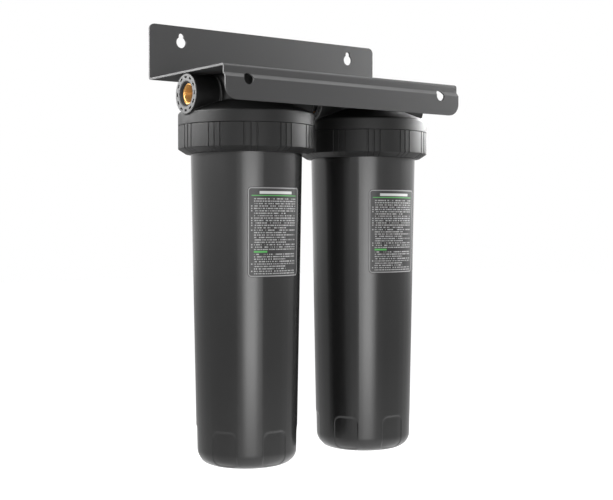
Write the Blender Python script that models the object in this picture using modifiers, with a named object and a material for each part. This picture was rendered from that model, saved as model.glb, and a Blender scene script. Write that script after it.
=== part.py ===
"""Two-stage sediment water filter: two tall housings side by side under one folded wall bracket.

Metres, +Z up, -Y to the front. The origin is the middle of the wall plate's back face.
Each head hangs under the bracket's shelf, with a threaded ring welded below it. The sump screws
onto that ring inside its own grooved collar, and a full-height cartridge stands in the sump.
"""

import math

import bmesh
import bpy
from mathutils import Matrix

for existing in list(bpy.data.objects):
    bpy.data.objects.remove(existing, do_unlink=True)

# Clearances
seat_gap = 0.0003
cut_overrun = 0.002

# Cartridge
cartridge_length = 0.508
cartridge_diameter = 0.1143
cartridge_cap_height = 0.010
cartridge_cap_wall = 0.004
cartridge_cap_rim_wall = 0.00415
gasket_thickness = 0.003
gasket_outer_radius = 0.031
gasket_inner_radius = 0.0155
core_outer_radius = 0.0170
core_wall = 0.0022

# Sump
water_gap = 0.01105
sump_wall = 0.0068
sump_taper = 0.0083
sump_floor_thickness = 0.008
sump_bottom_fillet = 0.022
sump_floor_fillet = 0.014
locator_radius = 0.0115
locator_height = 0.014
seat_ring_height = 0.0035
seat_ring_radius = 0.0245
seat_ring_width = 0.004
bottom_panel_height = 0.0555
bottom_panel_lift = 0.0035
bottom_panel_depth = 0.0014
bottom_panel_half_width = 0.0195
bottom_panel_corner = 0.010
bottom_panels = 6

# Collar of the sump
shoulder_overhang = 0.0187
collar_wall = 0.0097
collar_ledge_thickness = 0.0097
collar_chamfer_width = 0.011
collar_chamfer_height = 0.007
grip_groups = 12
grip_grooves = 3
grip_groove_width = 0.0021
grip_groove_depth = 0.0024
grip_groove_pitch = 0.0092

# Thread between the head and the sump
thread_lead = 0.00635
thread_section = 0.0021
thread_bury = 0.0005
thread_clearance = 0.0012
thread_margin = 0.0039

# Head
head_top_thickness = 0.0087
turret_radius = 0.066
turret_height = 0.0387
turret_edge = 0.002
dome_height = 0.014
dome_edge = 0.0025
skirt_height = 0.020
skirt_edge = 0.0012
skirt_seam_margin = 0.0005
spigot_length = 0.030
spigot_wall = 0.0125
chamber_radius = 0.050
outlet_tube_radius = 0.022
outlet_drop_radius = 0.0140
outlet_tube_drop = 0.0129
cartridge_headroom = 0.0042
inner_pipe_wall = 0.0045
oring_section = 0.005
oring_inset = 0.0035
oring_stand_out = 0.001

# Ports of the head
port_radius = 0.029
port_top_margin = 0.0007
port_overhang = 0.003
port_face_gap = 0.015
port_ring_step = 0.003
port_bore_radius = 0.0125
port_recess_radius = 0.0192
port_recess_depth = 0.004
port_web_width = 0.044
port_web_setback = 0.014
port_slots = 12
port_slot_length = 0.0052
port_slot_width = 0.0022
port_slot_depth = 0.006
port_slot_circle_share = 24 / 49

# Brass threaded inserts, and the plastic nipple that joins the two heads
insert_radius = 0.0165
insert_length = 0.024
insert_bore_radius = 0.0124
insert_lead_in = 0.0008
nipple_wall = 0.0036
nipple_reach = 0.020
nipple_hex_width = 0.032
nipple_hex_margin = 0.0015

# Folded sheet bracket
sheet_thickness = 0.003
bend_inner_radius = 0.0015
rear_clearance = 0.002
front_margin = 0.003
bracket_side_margin = 0.0045
wall_plate_height = 0.083
wall_plate_corner = 0.009
flange_height = 0.0493
flange_corner = 0.019
joggle_drop = 0.0125
joggle_height = 0.0055
joggle_step = 0.0046
keyhole_inset = 0.0552
keyhole_lift = 0.0585
keyhole_radius = 0.0085
keyhole_slot_width = 0.0090
keyhole_slot_rise = 0.0095
flange_hole_inset = 0.0385
flange_hole_drop = 0.0195
flange_hole_radius = 0.0080
shelf_hole_inset = 0.0124
shelf_hole_from_wall = 0.0200
shelf_hole_radius = 0.0045

# Screws that hold the heads to the shelf, each with a washer under its head
screw_circle_radius = 0.0577
screw_radius = 0.003
screw_depth = 0.014
screw_head_radius = 0.0055
screw_head_height = 0.0042
screw_socket_radius = 0.0026
screw_socket_depth = 0.0026
washer_radius = 0.0085
washer_thickness = 0.0014
screw_hole_clearance = 0.0004

# Labels on the sumps
label_width = 0.093
label_height = 0.130
label_drop = 0.0505
label_thickness = 0.0005
label_gap = 0.0004
label_corner = 0.006

# Facets
body_steps = 40
pipe_steps = 28
inner_steps = 24
small_steps = 20
screw_steps = 8
fillet_steps = 4
corner_steps = 4
panel_corner_steps = 3
gasket_steps = 16
oring_steps = 6

# Sizes that follow from the ones above
cartridge_radius = cartridge_diameter / 2
cap_rim_radius = cartridge_radius - cartridge_cap_rim_wall
media_outer_radius = cap_rim_radius - seat_gap
sump_bottom_radius = cartridge_radius + water_gap + sump_wall
sump_top_radius = sump_bottom_radius + sump_taper
collar_radius = sump_top_radius + shoulder_overhang
collar_bore_radius = collar_radius - collar_wall
thread_height = thread_section - thread_bury
thread_root_radius = collar_bore_radius - thread_clearance - thread_height
spigot_inner_radius = thread_root_radius - spigot_wall
oring_circle_radius = spigot_inner_radius + oring_inset + seat_gap + oring_section / 2
port_reach = collar_radius + port_overhang
port_face_width = port_radius - port_recess_radius
port_slot_circle_radius = port_recess_radius + port_face_width * port_slot_circle_share
stage_pitch = 2 * port_reach + port_face_gap
shelf_depth = rear_clearance + 2 * collar_radius + front_margin
bracket_length = stage_pitch + 2 * (collar_radius + bracket_side_margin)
axis_y = -(sheet_thickness + rear_clearance + collar_radius)

# Heights, from the shelf's top
shelf_top = -wall_plate_height / 2
head_top = -sheet_thickness - seat_gap
port_axis = head_top - port_top_margin - port_radius
dome_top = head_top - turret_height
skirt_top = dome_top - dome_height
skirt_bottom = skirt_top - skirt_height
skirt_seam = min(port_axis - port_radius, skirt_top) - skirt_seam_margin
spigot_bottom = skirt_bottom - spigot_length
chamber_roof = head_top - head_top_thickness
outlet_tube_bottom = port_axis - port_bore_radius - outlet_tube_drop
cartridge_top = outlet_tube_bottom - seat_gap
cartridge_bottom = cartridge_top - cartridge_length
cap_top = cartridge_top - gasket_thickness - seat_gap
cap_bottom = cartridge_bottom + gasket_thickness + seat_gap
spigot_roof = cap_top + cartridge_headroom
collar_top = skirt_bottom - seat_gap
ledge = spigot_bottom - oring_stand_out - seat_gap
collar_bottom = ledge - collar_ledge_thickness
seat_ring_top = cartridge_bottom - seat_gap
sump_floor = seat_ring_top - seat_ring_height
sump_bottom = sump_floor - sump_floor_thickness
label_top = collar_bottom - label_drop
label_bottom = label_top - label_height
thread_turns = (spigot_length - 2 * thread_margin) / thread_lead

# Collections
model = bpy.data.collections.new("two_stage_water_filter")
bpy.context.scene.collection.children.link(model)
cutters = bpy.data.collections.new("cutters")
bpy.context.scene.collection.children.link(cutters)


def principled(name, colour, roughness, metallic=0.0):
    """A material with one Principled shader."""
    material = bpy.data.materials.new(name)
    material.use_nodes = True
    shader = material.node_tree.nodes["Principled BSDF"]
    shader.inputs["Base Color"].default_value = (*colour, 1.0)
    shader.inputs["Roughness"].default_value = roughness
    shader.inputs["Metallic"].default_value = metallic
    material.diffuse_color = (*colour, 1.0)
    return material


bracket_paint = principled("bracket_paint", (0.085, 0.085, 0.088), 0.45)
steel = principled("zinc_steel", (0.62, 0.63, 0.64), 0.35, 1.0)
head_plastic = principled("head_plastic", (0.045, 0.045, 0.047), 0.38)
sump_plastic = principled("sump_plastic", (0.040, 0.040, 0.043), 0.34)
brass = principled("brass", (0.78, 0.50, 0.20), 0.28, 1.0)
black_rubber = principled("black_rubber", (0.020, 0.020, 0.020), 0.65)
media_white = principled("filter_media", (0.86, 0.86, 0.83), 0.90)
core_plastic = principled("core_plastic", (0.80, 0.81, 0.82), 0.50)
cap_plastic = principled("cap_plastic", (0.13, 0.22, 0.42), 0.45)
label_film = principled("label_film", (0.050, 0.050, 0.052), 0.42)


def link(obj, collection, parent=None, location=(0, 0, 0), rotation=(0, 0, 0)):
    """Puts an object in its collection and in its place."""
    collection.objects.link(obj)
    obj.parent = parent
    obj.location = location
    obj.rotation_euler = rotation
    if collection is cutters:
        obj.hide_render = True
        obj.display_type = "WIRE"
    return obj


def finish(obj, material):
    """Gives a piece its material and smooth round faces."""
    obj.data.materials.append(material)
    obj.data.shade_smooth()
    obj.data.set_sharp_from_angle(angle=math.radians(30))
    return obj


def turned(name, profile, steps, collection, closed=False, angle=math.tau, **place):
    """Turns a profile of (radius, height) points round Z. It runs down the shape's outer side."""
    mesh = bpy.data.meshes.new(name)
    count = len(profile)
    edges = [(i, i + 1) for i in range(count - 1)]
    if closed:
        edges.append((count - 1, 0))
    mesh.from_pydata([(r, 0, z) for r, z in profile], edges, [])
    obj = link(bpy.data.objects.new(name, mesh), collection, **place)
    screw = obj.modifiers.new("turn", "SCREW")
    screw.axis = "Z"
    screw.angle = angle
    screw.steps = steps
    screw.render_steps = steps
    screw.use_merge_vertices = True
    screw.merge_threshold = 0.00001
    return obj


def rod(name, radius, start, end, steps, collection, end_radius=None, **place):
    """A cylinder or cone along its own Z, from start to end."""
    mesh = bpy.data.meshes.new(name)
    shape = bmesh.new()
    bmesh.ops.create_cone(
        shape,
        cap_ends=True,
        segments=steps,
        radius1=radius,
        radius2=radius if end_radius is None else end_radius,
        depth=end - start,
    )
    bmesh.ops.translate(shape, verts=shape.verts, vec=(0, 0, (start + end) / 2))
    shape.to_mesh(mesh)
    shape.free()
    return link(bpy.data.objects.new(name, mesh), collection, **place)


def block(name, size, centre, collection, **place):
    """A box of that size about centre."""
    mesh = bpy.data.meshes.new(name)
    shape = bmesh.new()
    bmesh.ops.create_cube(shape, size=1)
    bmesh.ops.scale(shape, verts=shape.verts, vec=size)
    bmesh.ops.translate(shape, verts=shape.verts, vec=centre)
    shape.to_mesh(mesh)
    shape.free()
    return link(bpy.data.objects.new(name, mesh), collection, **place)


def as_mesh(curve, collection):
    """Makes a curve object a closed mesh object in the same place, and removes the curve."""
    bpy.context.view_layer.update()
    evaluated = curve.evaluated_get(bpy.context.evaluated_depsgraph_get())
    mesh = bpy.data.meshes.new_from_object(evaluated)
    shape = bmesh.new()
    shape.from_mesh(mesh)
    bmesh.ops.remove_doubles(shape, verts=shape.verts, dist=0.000001)
    bmesh.ops.recalc_face_normals(shape, faces=shape.faces)
    shape.to_mesh(mesh)
    shape.free()
    name = curve.name
    parent = curve.parent
    location = curve.location.copy()
    rotation = curve.rotation_euler.copy()
    bpy.data.objects.remove(curve, do_unlink=True)
    solid = bpy.data.objects.new(name, mesh)
    return link(solid, collection, parent, location, rotation)


def prism(name, outlines, depth, collection, **place):
    """Flat outlines in the object's XY plane, made thick by depth, half to each side."""
    curve = bpy.data.curves.new(name, "CURVE")
    curve.dimensions = "2D"
    curve.fill_mode = "BOTH"
    curve.extrude = depth / 2
    for outline in outlines:
        spline = curve.splines.new("POLY")
        spline.points.add(len(outline) - 1)
        for point, (x, y) in zip(spline.points, outline):
            point.co = (x, y, 0, 1)
        spline.use_cyclic_u = True
    return as_mesh(link(bpy.data.objects.new(name, curve), collection, **place), collection)


def wire(name, points, radius, collection, **place):
    """A tube with four sides along points, with closed ends."""
    curve = bpy.data.curves.new(name, "CURVE")
    curve.dimensions = "3D"
    curve.twist_mode = "Z_UP"
    curve.bevel_depth = radius
    curve.bevel_resolution = 0
    curve.use_fill_caps = True
    spline = curve.splines.new("POLY")
    spline.points.add(len(points) - 1)
    for point, (x, y, z) in zip(spline.points, points):
        point.co = (x, y, z, 1)
    return as_mesh(link(bpy.data.objects.new(name, curve), collection, **place), collection)


def boolean(obj, cutter, operation="DIFFERENCE"):
    """Cuts obj with cutter, or joins or intersects them."""
    modifier = obj.modifiers.new(operation.lower() + "_" + cutter.name, "BOOLEAN")
    modifier.operation = operation
    modifier.solver = "EXACT"
    modifier.object = cutter
    return obj


def copies(name, source, turns, collection, **place):
    """One mesh with a copy of the source mesh at each turn about Z."""
    mesh = bpy.data.meshes.new(name)
    shape = bmesh.new()
    for turn in turns:
        first = len(shape.verts)
        shape.from_mesh(source.data)
        shape.verts.ensure_lookup_table()
        bmesh.ops.rotate(
            shape,
            verts=shape.verts[first:],
            cent=(0, 0, 0),
            matrix=Matrix.Rotation(turn, 3, "Z"),
        )
    shape.to_mesh(mesh)
    shape.free()
    bpy.data.objects.remove(source, do_unlink=True)
    return link(bpy.data.objects.new(name, mesh), collection, **place)


def arc(centre_x, centre_y, radius, start, end, steps):
    """Points on an arc from start to end, in degrees."""
    turns = [math.radians(start + (end - start) * i / steps) for i in range(steps + 1)]
    return [(centre_x + radius * math.cos(t), centre_y + radius * math.sin(t)) for t in turns]


def rounded_rectangle(width, low, high, radius, steps):
    """An outline centred on X = 0 from low to high, with rounded corners."""
    right = width / 2 - radius
    corners = ((-right, low + radius, 180), (right, low + radius, 270))
    corners += ((right, high - radius, 0), (-right, high - radius, 90))
    points = []
    for x, y, start in corners:
        points += arc(x, y, radius, start, start + 90, steps)
    return points


def sump_outer_radius(height):
    """The tapered wall's outer radius at a height."""
    share = (collar_bottom - height) / (collar_bottom - sump_bottom)
    return sump_top_radius + (sump_bottom_radius - sump_top_radius) * share


along_x = (0, math.pi / 2, 0)
facing_front = (math.pi / 2, 0, 0)


# Bracket
def sheet_profile():
    """The folded sheet's section as (depth, height) points, depth growing to the front."""
    t = sheet_thickness
    inner = bend_inner_radius
    outer = inner + t
    front = t + shelf_depth
    step_top = -joggle_drop
    step_bottom = step_top - joggle_height
    face = front + joggle_step
    points = [(0, wall_plate_height), (0, -t + outer)]
    points += arc(outer, -t + outer, outer, 180, 270, corner_steps)[1:]
    points += arc(front - t - inner, -t - inner, inner, 90, 0, corner_steps)
    points += [(front - t, step_top), (face - t, step_bottom), (face - t, -flange_height)]
    points += [(face, -flange_height), (face, step_bottom), (front, step_top)]
    points += arc(front - outer, -outer, outer, 0, 90, corner_steps)
    points += arc(t + inner, inner, inner, 270, 180, corner_steps)
    points += [(t, wall_plate_height)]
    return points


def build_bracket():
    bracket = prism(
        "mounting_bracket",
        [[(-depth, height) for depth, height in sheet_profile()]],
        bracket_length,
        model,
        location=(0, 0, shelf_top),
        rotation=(math.pi / 2, 0, math.pi / 2),
    )
    front_y = -(sheet_thickness + shelf_depth)
    wall_middle = -sheet_thickness / 2
    boolean(bracket, corner_cutter(
        "wall_plate_corners", wall_plate_height, wall_plate_corner, 1, wall_middle,
    ))
    flange_middle = front_y - joggle_step + sheet_thickness / 2
    boolean(bracket, corner_cutter(
        "flange_corners", -flange_height, flange_corner, -1, flange_middle,
    ))

    keyhole_x = bracket_length / 2 - keyhole_inset
    hole_x = bracket_length / 2 - flange_hole_inset
    shelf_hole_x = bracket_length / 2 - shelf_hole_inset
    for side, word in ((-1, "left"), (1, "right")):
        boolean(bracket, prism(
            "keyhole_" + word,
            [keyhole_outline(side * keyhole_x)],
            sheet_thickness + 2 * cut_overrun,
            cutters,
            location=(0, wall_middle, shelf_top),
            rotation=facing_front,
        ))
        boolean(bracket, rod(
            "flange_hole_" + word, flange_hole_radius,
            -joggle_step - cut_overrun, sheet_thickness + cut_overrun,
            small_steps, cutters,
            location=(side * hole_x, front_y, shelf_top - flange_hole_drop),
            rotation=(-math.pi / 2, 0, 0),
        ))
        boolean(bracket, rod(
            "shelf_hole_" + word, shelf_hole_radius,
            -sheet_thickness - cut_overrun, cut_overrun,
            small_steps, cutters,
            location=(side * shelf_hole_x, -sheet_thickness - shelf_hole_from_wall, shelf_top),
        ))
    for side in (-1, 1):
        for x, y in screw_offsets():
            boolean(bracket, rod(
                "shelf_screw_hole", screw_radius + screw_hole_clearance,
                -sheet_thickness - cut_overrun, cut_overrun,
                screw_steps, cutters,
                location=(side * stage_pitch / 2 + x, axis_y + y, shelf_top),
            ))
    return finish(bracket, bracket_paint)


def corner_cutter(name, edge, radius, up, y):
    """Two corner pieces outside a rounded edge at that height. up is 1 for a top edge."""
    half = bracket_length / 2
    outlines = []
    for side in (-1, 1):
        centre = (side * (half - radius), edge - up * radius)
        turns = [math.radians(90 * i / corner_steps) for i in range(corner_steps + 1)]
        rim = [
            (centre[0] + side * radius * math.cos(t), centre[1] + up * radius * math.sin(t))
            for t in turns
        ]
        out_x = side * (half + cut_overrun)
        out_z = edge + up * cut_overrun
        outlines.append([(out_x, rim[0][1])] + rim + [(rim[-1][0], out_z), (out_x, out_z)])
    depth = 2 * (sheet_thickness + joggle_step) + cut_overrun
    return prism(
        name, outlines, depth, cutters,
        location=(0, y, shelf_top), rotation=facing_front,
    )


def keyhole_outline(x):
    """A round lower lobe with a narrower slot above it."""
    half = keyhole_slot_width / 2
    meet = math.degrees(math.asin(half / keyhole_radius))
    top = keyhole_lift + keyhole_slot_rise
    points = arc(x, keyhole_lift, keyhole_radius, 90 + meet, 450 - meet, 4 * corner_steps)
    points += arc(x, top, half, 0, 180, 2 * corner_steps)
    return points


def screw_offsets():
    """X and Y of a head's four screws, from its axis."""
    offset = screw_circle_radius * math.sqrt(0.5)
    return [(x, y) for x in (-offset, offset) for y in (-offset, offset)]


def build_screw(name, offset, empty):
    """A screw with a washer under its head, from the shelf's top into the head below."""
    washer_top = seat_gap + washer_thickness
    head_high = washer_top + screw_head_height
    socket_floor = head_high - screw_socket_depth
    edge = screw_head_height / 4
    point = -sheet_thickness - screw_depth
    screw = turned(
        name,
        [
            (0, socket_floor),
            (screw_socket_radius, socket_floor),
            (screw_socket_radius, head_high),
            (screw_head_radius - edge, head_high),
            (screw_head_radius, head_high - edge),
            (screw_head_radius, washer_top),
            (washer_radius, washer_top),
            (washer_radius, seat_gap),
            (screw_radius, seat_gap),
            (screw_radius, point),
            (0, point - screw_radius / 2),
        ],
        screw_steps,
        model,
        parent=empty,
        location=(*offset, 0),
    )
    return finish(screw, steel)


# Head
def head_profile():
    """The outer side of the head and its ring, from the middle of the top down the skirt."""
    return [
        (0, head_top),
        (turret_radius - turret_edge, head_top),
        (turret_radius, head_top - turret_edge),
        (turret_radius, dome_top),
        (collar_radius - dome_edge, skirt_top),
        (collar_radius, skirt_top - skirt_edge),
        (collar_radius, skirt_bottom + skirt_edge / 2),
        (collar_radius - skirt_edge / 2, skirt_bottom),
        (0, skirt_bottom),
    ]


def seam_cutter(name, low, empty):
    """A block as high as the skirt and wider than it, whose bottom is at that height."""
    return block(
        name, (3 * collar_radius, 3 * collar_radius, skirt_height),
        (0, 0, low + skirt_height / 2), cutters, parent=empty,
    )


def build_head(stage, empty):
    head = turned(stage + "_head", head_profile(), body_steps, model, parent=empty)
    port_place = {"parent": empty, "location": (0, 0, port_axis), "rotation": along_x}

    boolean(head, seam_cutter(stage + "_below_seam", skirt_seam - skirt_height, empty))
    boolean(head, rod(
        stage + "_port_tubes", port_radius, -port_reach, port_reach,
        pipe_steps, cutters, **port_place,
    ), "UNION")
    ring_reach = turret_radius - turret_edge
    ring = rod(
        stage + "_port_rings", port_radius + port_ring_step, -ring_reach, ring_reach,
        pipe_steps, cutters, **port_place,
    )
    boolean(ring, block(
        stage + "_ring_trim",
        (4 * ring_reach, 4 * port_radius, port_radius),
        (0, 0, head_top - turret_edge / 2 + port_radius / 2),
        cutters, parent=empty,
    ))
    boolean(head, ring, "UNION")
    web_reach = port_reach - port_web_setback
    boolean(head, block(
        stage + "_port_webs",
        (2 * web_reach, port_web_width, port_axis - skirt_top + skirt_edge),
        (0, 0, (port_axis + skirt_top - skirt_edge) / 2),
        cutters, parent=empty,
    ), "UNION")

    cavity = turned(
        stage + "_cavity",
        [
            (outlet_tube_radius, chamber_roof),
            (chamber_radius, chamber_roof),
            (chamber_radius, spigot_roof),
            (spigot_inner_radius, spigot_roof),
            (spigot_inner_radius, spigot_bottom - cut_overrun),
            (0, spigot_bottom - cut_overrun),
            (0, outlet_tube_bottom),
            (outlet_tube_radius, outlet_tube_bottom),
        ],
        inner_steps, cutters, closed=True, parent=empty,
    )
    boolean(cavity, rod(
        stage + "_inner_pipe", port_bore_radius + inner_pipe_wall,
        outlet_tube_radius / 2, chamber_radius + cut_overrun,
        small_steps, cutters, **port_place,
    ))
    boolean(head, cavity)
    build_threaded_ring(stage, empty, cavity)
    boolean(head, rod(
        stage + "_outlet_drop", outlet_drop_radius,
        outlet_tube_bottom - cut_overrun, port_axis + port_bore_radius / 2,
        small_steps, cutters, parent=empty,
    ))

    pocket_radius = insert_radius + seat_gap
    pocket_depth = port_recess_depth + insert_length + 2 * seat_gap
    inlet_end = port_reach - (outlet_tube_radius + chamber_radius) / 2
    outlet_end = port_reach + outlet_drop_radius / 4
    for side, word, end in ((-1, "inlet", inlet_end), (1, "outlet", outlet_end)):
        face_place = {
            "parent": empty,
            "location": (side * port_reach, 0, port_axis),
            "rotation": (0, side * math.pi / 2, 0),
        }
        boolean(head, turned(
            stage + "_" + word + "_bore",
            [
                (0, cut_overrun),
                (port_recess_radius, cut_overrun),
                (port_recess_radius, 0),
                (pocket_radius, -port_recess_depth),
                (pocket_radius, -pocket_depth),
                (port_bore_radius, -pocket_depth),
                (port_bore_radius, -end),
                (0, -end),
            ],
            small_steps, cutters, **face_place,
        ))
        slot = block(
            stage + "_" + word + "_slot",
            (port_slot_width, port_slot_length, port_slot_depth + cut_overrun),
            (port_slot_circle_radius, 0, (cut_overrun - port_slot_depth) / 2),
            cutters,
        )
        boolean(head, copies(
            stage + "_" + word + "_slots", slot,
            [math.tau * i / port_slots for i in range(port_slots)],
            cutters, **face_place,
        ))

    hole = rod(
        stage + "_screw_hole", screw_radius + screw_hole_clearance,
        head_top - screw_depth - screw_radius, head_top + cut_overrun,
        screw_steps, cutters,
    )
    for vertex in hole.data.vertices:
        vertex.co.x += screw_circle_radius
    boolean(head, copies(
        stage + "_screw_holes", hole,
        [math.tau * (i + 0.5) / 4 for i in range(4)],
        cutters, parent=empty,
    ))
    return finish(head, head_plastic)


def build_threaded_ring(stage, empty, cavity):
    """The lower part of the skirt and the spigot with its thread and its O-ring groove."""
    ring = turned(
        stage + "_threaded_ring",
        [
            (0, skirt_seam + cut_overrun),
            (collar_radius, skirt_seam + cut_overrun),
            (collar_radius, skirt_bottom + skirt_edge / 2),
            (collar_radius - skirt_edge / 2, skirt_bottom),
            (0, skirt_bottom),
        ],
        body_steps, model, parent=empty,
    )
    boolean(ring, seam_cutter(stage + "_above_seam", skirt_seam - seat_gap, empty))
    boolean(ring, rod(
        stage + "_spigot", thread_root_radius, spigot_bottom, (skirt_seam + skirt_bottom) / 2,
        inner_steps, cutters, parent=empty,
    ), "UNION")
    boolean(ring, cavity)

    groove_in = oring_circle_radius - oring_section / 2 - seat_gap
    groove_out = oring_circle_radius + oring_section / 2 + seat_gap
    groove_top = spigot_bottom - oring_stand_out + oring_section + seat_gap
    boolean(ring, turned(
        stage + "_oring_groove",
        [
            (groove_in, groove_top),
            (groove_out, groove_top),
            (groove_out, spigot_bottom - cut_overrun),
            (groove_in, spigot_bottom - cut_overrun),
        ],
        inner_steps, cutters, closed=True, parent=empty,
    ))

    count = round(thread_turns * inner_steps)
    centre_radius = thread_root_radius - thread_bury
    start = skirt_bottom - thread_margin
    helix = []
    for i in range(count + 1):
        turn = math.tau * thread_turns * i / count
        drop = thread_lead * thread_turns * i / count
        helix.append((
            centre_radius * math.cos(turn),
            -centre_radius * math.sin(turn),
            start - drop,
        ))
    boolean(ring, wire(stage + "_thread", helix, thread_section, cutters, parent=empty), "UNION")
    return finish(ring, head_plastic)


# Sump
def sump_outside():
    """Down the outer side, from the middle of the collar's top to the middle of the bottom."""
    foot = sump_outer_radius(sump_bottom + sump_bottom_fillet)
    points = [
        (0, collar_top),
        (collar_radius, collar_top),
        (collar_radius, collar_bottom + collar_chamfer_height),
        (collar_radius - collar_chamfer_width, collar_bottom),
        (sump_top_radius, collar_bottom),
    ]
    points += arc(
        foot - sump_bottom_fillet, sump_bottom + sump_bottom_fillet,
        sump_bottom_fillet, 0, -90, fillet_steps,
    )
    return points + [(0, sump_bottom)]


def sump_inside():
    """The space inside, from above the collar down to the seat ring and locator on the floor."""
    foot = sump_outer_radius(sump_floor) - sump_wall
    points = [
        (0, collar_top + cut_overrun),
        (collar_bore_radius, collar_top + cut_overrun),
        (collar_bore_radius, ledge),
        (sump_outer_radius(ledge) - sump_wall, ledge),
    ]
    points += arc(
        foot - sump_floor_fillet, sump_floor + sump_floor_fillet,
        sump_floor_fillet, 0, -90, fillet_steps - 1,
    )
    return points + [
        (seat_ring_radius + seat_ring_width / 2, sump_floor),
        (seat_ring_radius, seat_ring_top),
        (seat_ring_radius - seat_ring_width / 2, sump_floor),
        (locator_radius, sump_floor),
        (locator_radius, sump_floor + locator_height),
        (0, sump_floor + locator_height),
    ]


def grip_cutter(stage, empty):
    """Narrow upright grooves round the collar, three to a group, that follow its chamfer."""
    floor = collar_radius - grip_groove_depth
    low = collar_bottom - cut_overrun
    foot = floor - collar_chamfer_width * (1 + cut_overrun / collar_chamfer_height)
    high = collar_top + cut_overrun
    outer = collar_radius + cut_overrun
    outline = [(floor, high), (floor, collar_bottom + collar_chamfer_height)]
    outline += [(foot, low), (outer, low), (outer, high)]
    groove = prism(
        stage + "_grip_groove", [outline], grip_groove_width, cutters,
        rotation=facing_front,
    )
    groove.data.transform(groove.rotation_euler.to_matrix().to_4x4())
    step = grip_groove_pitch / collar_radius
    turns = []
    for group in range(grip_groups):
        for i in range(grip_grooves):
            turns.append(math.tau * group / grip_groups + step * (i - (grip_grooves - 1) / 2))
    return copies(stage + "_grip_grooves", groove, turns, cutters, parent=empty)


def panel_cutter(stage, empty):
    """Shallow panels with rounded tops round the foot of the sump, of even depth."""
    low = sump_bottom + bottom_panel_lift
    high = sump_bottom + bottom_panel_height
    foot = sump_outer_radius(sump_bottom + sump_bottom_fillet)
    rim = arc(
        foot - sump_bottom_fillet, sump_bottom + sump_bottom_fillet,
        sump_bottom_fillet - bottom_panel_depth, -90, 0, fillet_steps,
    )
    outer = sump_top_radius + cut_overrun
    top = high + cut_overrun
    bottom = sump_bottom - cut_overrun
    profile = [(sump_outer_radius(top) - bottom_panel_depth, top), (outer, top), (outer, bottom)]
    profile += [(rim[0][0], bottom)] + rim
    sleeve = turned(
        stage + "_panel_sleeve", profile, body_steps, cutters, closed=True, parent=empty,
    )
    outline = rounded_rectangle(
        2 * bottom_panel_half_width, low, high, bottom_panel_corner, panel_corner_steps,
    )
    reach = 2 * sump_top_radius
    arch = prism(stage + "_panel_arch", [outline], reach, cutters, rotation=facing_front)
    arch.data.transform(arch.rotation_euler.to_matrix().to_4x4())
    for vertex in arch.data.vertices:
        vertex.co.y -= reach / 2 + cartridge_radius / 2
    turns = [math.tau * i / bottom_panels for i in range(bottom_panels)]
    arches = copies(stage + "_panel_arches", arch, turns, cutters, parent=empty)
    return boolean(sleeve, arches, "INTERSECT")


def build_sump(stage, empty):
    sump = turned(stage + "_sump", sump_outside(), body_steps, model, parent=empty)
    boolean(sump, turned(
        stage + "_sump_inside", sump_inside(), inner_steps, cutters, parent=empty,
    ))
    boolean(sump, grip_cutter(stage, empty))
    boolean(sump, panel_cutter(stage, empty))
    return finish(sump, sump_plastic)


def build_oring(stage, empty):
    centre = spigot_bottom - oring_stand_out + oring_section / 2
    turns = [-math.tau * (i + 0.5) / oring_steps for i in range(oring_steps)]
    ring = turned(
        stage + "_o_ring",
        [
            (
                oring_circle_radius + oring_section / 2 * math.cos(t),
                centre + oring_section / 2 * math.sin(t),
            )
            for t in turns
        ],
        inner_steps, model, closed=True, parent=empty,
    )
    return finish(ring, black_rubber)


def build_label(stage, empty):
    """A film with rounded corners that follows the tapered wall."""
    offset = label_gap
    half = label_width / (sump_outer_radius(label_top) + sump_outer_radius(label_bottom))
    extra = math.tau / body_steps
    count = math.ceil((2 * half + extra) / extra)
    span = count * extra
    high = label_top + cut_overrun
    low = label_bottom - cut_overrun
    label = turned(
        stage + "_label",
        [(sump_outer_radius(high) + offset, high), (sump_outer_radius(low) + offset, low)],
        count, model, angle=span, parent=empty,
        rotation=(0, 0, -math.pi / 2 - span / 2),
    )
    shell = label.modifiers.new("film", "SOLIDIFY")
    shell.thickness = label_thickness
    shell.offset = 1
    width = 2 * sump_outer_radius(label_top) * math.sin(half)
    outline = prism(
        stage + "_label_outline",
        [rounded_rectangle(width, label_bottom, label_top, label_corner, corner_steps)],
        2 * sump_top_radius, cutters, parent=empty,
        location=(0, -sump_top_radius, 0), rotation=facing_front,
    )
    boolean(label, outline, "INTERSECT")
    return finish(label, label_film)


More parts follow.
